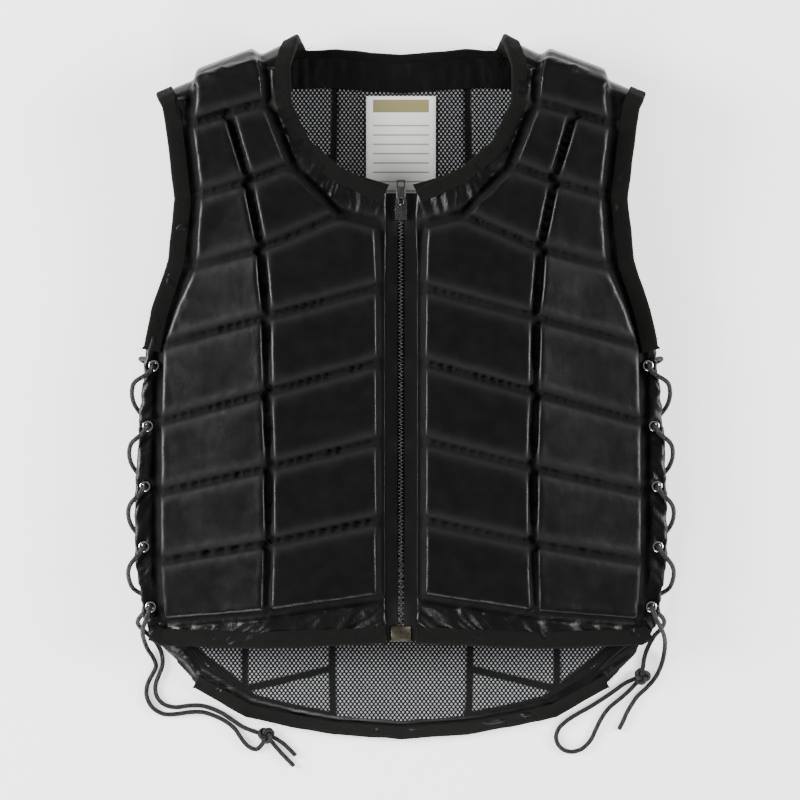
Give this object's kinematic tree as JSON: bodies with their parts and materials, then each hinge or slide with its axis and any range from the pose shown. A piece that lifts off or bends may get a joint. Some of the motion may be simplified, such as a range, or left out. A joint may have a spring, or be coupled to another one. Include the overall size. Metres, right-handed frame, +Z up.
{
  "type": "equestrian body protector",
  "caption": "Sleeveless padded riding vest lying on its back, with quilted foam blocks, a front zip, a long rounded tail and laced sides.",
  "frame": {"origin": "on the surface that the vest lies on, under the middle of the vest without its loose laces", "axes": "+Y towards the collar, +Z up out of the chest, +X to the right of a viewer who looks down on the front"},
  "size_m": [0.4688, 0.6289, 0.0704],
  "materials": {
    "satin_shell": "black satin cover, soft sheen",
    "binding_tape": "charcoal knitted binding tape, matt",
    "mesh_lining": "black net over silver grey backing",
    "satin_facing": "black satin",
    "label": "white woven satin label with a khaki band",
    "zip_tape": "dark grey herringbone zip tape and coil",
    "zip_box": "pale brass, satin",
    "zip_slider": "black enamelled metal, glossy",
    "eyelet": "nickel plated, polished",
    "lace": "black round braid"
  },
  "bodies": {
    "vest": {"front_panel_left": "satin_shell", "front_panel_right": "satin_shell", "shoulder_left": "satin_shell", "shoulder_right": "satin_shell", "back_panel": "satin_shell", "neck_binding": "binding_tape", "armhole_binding_left": "binding_tape", "armhole_binding_right": "binding_tape", "front_hem_binding_left": "binding_tape", "front_hem_binding_right": "binding_tape", "tail_binding": "binding_tape", "back_lining": "mesh_lining", "neck_facing": "satin_facing", "neck_label": "label", "zip_tape_left": "zip_tape", "zip_tape_right": "zip_tape", "zip_teeth": "zip_tape", "zip_box": "zip_box", "zip_slider": "zip_slider", "eyelet_front_left_1": "eyelet", "eyelet_back_left_1": "eyelet", "eyelet_front_left_2": "eyelet", "eyelet_back_left_2": "eyelet", "eyelet_front_left_3": "eyelet", "eyelet_back_left_3": "eyelet", "eyelet_front_left_4": "eyelet", "eyelet_back_left_4": "eyelet", "eyelet_front_left_5": "eyelet", "eyelet_back_left_5": "eyelet", "eyelet_front_right_1": "eyelet", "eyelet_back_right_1": "eyelet", "eyelet_front_right_2": "eyelet", "eyelet_back_right_2": "eyelet", "eyelet_front_right_3": "eyelet", "eyelet_back_right_3": "eyelet", "eyelet_front_right_4": "eyelet", "eyelet_back_right_4": "eyelet", "eyelet_front_right_5": "eyelet", "eyelet_back_right_5": "eyelet", "lacing_left": "lace", "lacing_right": "lace", "lace_outer_left": "lace", "lace_inner_left": "lace", "lace_tip_a_left": "lace", "lace_tip_b_left": "lace", "lace_outer_right": "lace", "lace_inner_right": "lace", "lace_loop_right": "lace", "knot_left": "lace", "knot_right": "lace"},
    "puller": {"zip_puller": "zip_slider"}
  },
  "joints": [
    {"name": "puller_hinge", "type": "hinge", "parent": "vest", "child": "puller", "pos_m": [0, 0.15137, 0.0599], "axis": [1, 0, 0], "range_deg": [0, 180]}
  ]
}
